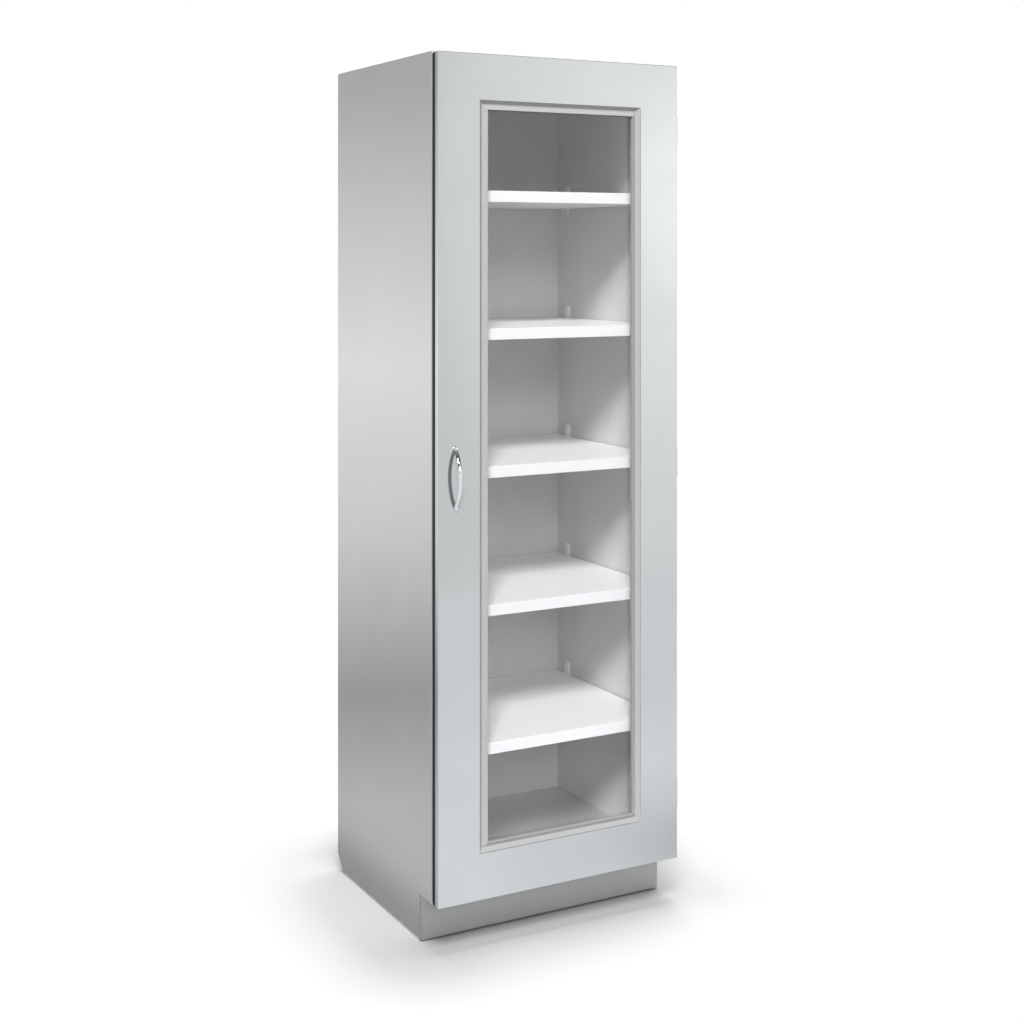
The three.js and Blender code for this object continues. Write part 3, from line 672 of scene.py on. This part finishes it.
def away_from(tree, point, stretch=(1, 1, 1)):
    """Distance from a point in metres. Stretch makes an axis count for more or less, or with 0 not at all."""
    where = add(tree, "TexCoord")
    counted = add(tree, "VectorMath", {0: where.outputs["Object"], 1: stretch}, operation="MULTIPLY")
    ends = {0: counted.outputs[0], 1: Vector(point) * Vector(stretch)}
    return add(tree, "VectorMath", ends, operation="DISTANCE").outputs["Value"]


def set_stops(ramp, levels, tint=(1, 1, 1)):
    """Sets a ramp's stops from pairs of a place from 0 to 1 and a brightness, coloured by a tint."""
    stops = ramp.color_ramp.elements
    for _ in levels[2:]:
        stops.new(1)
    for stop, (at, level) in zip(stops, levels):
        stop.position = at
        stop.color = (*(level * t for t in tint), 1)


def flat_sheet(name, corners, material):
    bm = bmesh.new()
    bm.faces.new([bm.verts.new(c) for c in corners])
    mesh = bpy.data.meshes.new(name)
    bm.to_mesh(mesh)
    bm.free()
    mesh.materials.append(material)
    flat = bpy.data.objects.new(name, mesh)
    bpy.context.scene.collection.objects.link(flat)
    return flat


# Floor: matt paper that takes the shadow, and far off a glow as white as the room. The glow is full for the
# rays that show it and lights other things only a little.
FLOOR_GLOW, FLOOR_BOUNCE, FLOOR_REACH = 1.12, 0.18, 20
GLOW_START, GLOW_FULL = 0.6, 1.4
paper, tree = new_material("white_paper_floor")
rays = add(tree, "LightPath")
middle_span = {"Value": away_from(tree, (0, 0, 0)), "From Min": GLOW_START, "From Max": GLOW_FULL}
far = add(tree, "MapRange", middle_span)
# To the camera, the shadow fades to white within a hand's length of the cabinet's footprint.
FADE_START, FADE_FULL = 0.12, 0.28
low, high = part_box("left_side_panel")[0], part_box("right_side_panel")[1]
where = add(tree, "TexCoord")
moved = add(tree, "VectorMath", {0: where.outputs["Object"], 1: (low + high) / 2}, operation="SUBTRACT")
folded = add(tree, "VectorMath", {0: moved.outputs[0]}, operation="ABSOLUTE")
beyond = add(tree, "VectorMath", {0: folded.outputs[0], 1: (high - low) / 2}, operation="SUBTRACT")
outside = add(tree, "VectorMath", {0: beyond.outputs[0], 1: (0, 0, 0)}, operation="MAXIMUM")
off = add(tree, "VectorMath", {0: outside.outputs[0]}, operation="LENGTH")
edge_span = {"Value": off.outputs["Value"], "From Min": FADE_START, "From Max": FADE_FULL}
fade = add(tree, "MapRange", edge_span)
shown = add(tree, "Math", {0: fade.outputs[0], 1: rays.outputs["Is Camera Ray"]}, operation="MULTIPLY")
white = add(tree, "Math", {0: far.outputs[0], 1: shown.outputs[0]}, operation="MAXIMUM")
tones = {0: rays.outputs["Is Glossy Ray"], 6: srgb("f4f4f4"), 7: srgb("e8e8e8")}
tone = add(tree, "Mix", tones, data_type="RGBA")
matt = add(tree, "BsdfDiffuse", {"Color": tone.outputs[2]})
shine = add(tree, "Mix", {0: seen_rays(tree), 2: FLOOR_BOUNCE, 3: FLOOR_GLOW})
glow = add(tree, "Emission", {"Color": tone.outputs[2], "Strength": shine.outputs[0]})
both = add(tree, "MixShader", {0: white.outputs[0], 1: matt.outputs[0], 2: glow.outputs[0]})
add(tree, "OutputMaterial", {"Surface": both.outputs[0]})
floor = flat_sheet("floor", [
    (-FLOOR_REACH, -FLOOR_REACH, 0), (FLOOR_REACH, -FLOOR_REACH, 0), (FLOOR_REACH, FLOOR_REACH, 0),
    (-FLOOR_REACH, FLOOR_REACH, 0),
], paper)


def card(name, corners, levels, point, stretch=(1, 1, 1), tint=(1, 1, 1)):
    """A graded glowing card that only reflections show: a painted reflection, not a lamp. Levels pairs
    distances from a point, in metres, with brightnesses; stretch says how each axis counts in the distance,
    and tint colours the whole card."""
    material, tree = new_material(name + "_paint")
    reach = levels[-1][0]
    share = add(tree, "MapRange", {"Value": away_from(tree, point, stretch), "From Max": reach})
    ramp = add(tree, "ValToRGB", {"Fac": share.outputs[0]})
    set_stops(ramp, [(at / reach, level) for at, level in levels], tint)
    painted = add(tree, "Emission", {"Color": ramp.outputs["Color"]})
    add(tree, "OutputMaterial", {"Surface": painted.outputs[0]})
    material.cycles.emission_sampling = "NONE"
    flat = flat_sheet(name, corners, material)
    for kind in ("camera", "diffuse", "transmission", "volume_scatter", "shadow"):
        setattr(flat, "visible_" + kind, False)


# Painted reflection in the left side: bands by height
card(
    "left_card", [(-1.13, 0.47, 0.01), (-0.14, 0.94, 0.01), (-0.14, 0.94, 2.6), (-1.13, 0.47, 2.6)],
    [(0, 0.6), (0.28, 0.36), (0.72, 0.92), (1.18, 1.2), (1.62, 0.84), (1.95, 0.54), (2.6, 0.5)],
    (0, 0, 0), (0, 0, 1),
)
# Painted reflection in the door: a bright spot, taller than it is wide, high on the right
card(
    "right_card", [(0.4, -3.0, 0.12), (4.2, -3.0, 0.12), (4.2, -3.0, 3.4), (0.4, -3.0, 3.4)],
    [
        (0, 1.45), (0.2, 1.43), (0.3, 1.36), (0.42, 1.22), (0.67, 1.14), (0.85, 1.08), (1.06, 1.0),
        (1.28, 0.97), (1.38, 0.86), (1.5, 0.82), (2.2, 0.78),
    ],
    (2.25, -3.0, 1.75), (1.1, 1, 0.8), (1.03, 1, 0.98),
)
# Painted reflection low in the left side: the floor with a painted shadow, darker towards the cabinet
card(
    "left_floor_shade_card",
    [(-1.3, -0.3, 0.002), (-0.312, -0.3, 0.002), (-0.312, 1.3, 0.002), (-1.3, 1.3, 0.002)],
    [(0, 0.24), (0.05, 0.28), (0.09, 0.42), (0.15, 0.6), (0.3, 0.64), (0.6, 0.55), (1, 0.5)],
    (-0.31, 0, 0), (1, 0, 0),
)
# Painted reflection low in the door: the floor with a painted shadow, darker in front of the door's lower
# right corner
card(
    "front_floor_shade_card",
    [(-1.5, -1.6, 0.002), (2.2, -1.6, 0.002), (2.2, -0.3, 0.002), (-1.5, -0.3, 0.002)],
    [
        (0, 0.56), (0.14, 0.62), (0.22, 0.72), (0.32, 0.83), (0.45, 0.88), (0.7, 0.98), (0.9, 0.98),
        (1.2, 0.92), (1.6, 0.9),
    ],
    (0.62, -0.48, 0),
)

# Room: white to look at, dim in mirrors above the horizon, and a soft light for the rest. Levels go by the
# height of a direction, 0 level and 1 straight up.
world = bpy.data.worlds.new("white_room")
bpy.context.scene.world = world
world.use_nodes = True
sky = world.node_tree
sky.nodes.clear()
aim = add(sky, "TexCoord")
height = add(sky, "SeparateXYZ", {0: aim.outputs["Generated"]}).outputs["Z"]
soft = add(sky, "ValToRGB", {"Fac": height})
set_stops(soft, [(0, 0.35), (0.4, 0.35), (0.6, 0.31), (1, 0.31)])
mirrored = add(sky, "ValToRGB", {"Fac": height})
set_stops(mirrored, [(0.1, 1), (0.26, 0.05), (0.7, 0.05), (1, 0.6)])
rays = add(sky, "LightPath")
seen = add(sky, "Mix", {0: rays.outputs["Is Glossy Ray"], 2: 1.0, 3: mirrored.outputs["Color"]})
level = add(sky, "Mix", {0: seen_rays(sky), 2: soft.outputs["Color"], 3: seen.outputs[0]})
room = add(sky, "Background", {"Color": srgb("ffffff"), "Strength": level.outputs[0]})
add(sky, "OutputWorld", {"Surface": room.outputs[0]})


def lamp(name, size, energy, location, target):
    light = bpy.data.lights.new(name, "AREA")
    light.size = size
    light.energy = energy
    hung = bpy.data.objects.new(name, light)
    hung.location = location
    hung.rotation_euler = (Vector(target) - hung.location).to_track_quat("-Z", "Y").to_euler()
    bpy.context.scene.collection.objects.link(hung)
    return hung


# Three lamps light the floor alone, so that the shadow stays close round the foot.
ground = bpy.data.collections.new("ground")
ground.objects.link(floor)
for name, size, energy, location in (
    ("floor_front", 1.7, 130, (-1.4, -3.0, 5.2)),
    ("floor_high", 1.3, 255, (0, 0, 11)),
    ("floor_overhead", 2.2, 60, (0.9, 0.6, 4.2)),
):
    lamp(name, size, energy, location, (0, -0.2, 0)).light_linking.receiver_collection = ground

# The key, high on the left, and a fill far off in front light the cabinet and not the floor. The key leaves
# out the kick board too, which lies in shade.
off_floor = bpy.data.collections.new("not_the_floor")
off_floor.objects.link(floor)
off_kick = bpy.data.collections.new("not_the_floor_or_kick")
for shaded in (floor, bpy.data.objects["kick_front"]):
    off_kick.objects.link(shaded)
for left_out in (off_floor, off_kick):
    for linked in left_out.collection_objects:
        linked.light_linking.link_state = "EXCLUDE"
CABINET_MIDDLE = (0, -0.2, 1.0)
key = lamp("key", 2.8, 2330, (-5.6, -9.7, 9.7), CABINET_MIDDLE)
key.light_linking.receiver_collection = off_kick
fill = lamp("fill", 3.8, 780, (-5.0, -19.0, 8.3), CABINET_MIDDLE)
fill.light_linking.receiver_collection = off_floor

# Camera, level, with the lens shifted down so that uprights stay parallel
camera = bpy.data.objects.new("camera", bpy.data.cameras.new("camera"))
camera.data.lens = 56.64
camera.data.shift_y = -0.2527
camera.location = (-1.80288, -3.32763, 1.49466)
camera.rotation_euler = (radians(90), 0, radians(-28.59))
bpy.context.scene.collection.objects.link(camera)
bpy.context.scene.camera = camera
bpy.context.scene.view_settings.view_transform = "Standard"
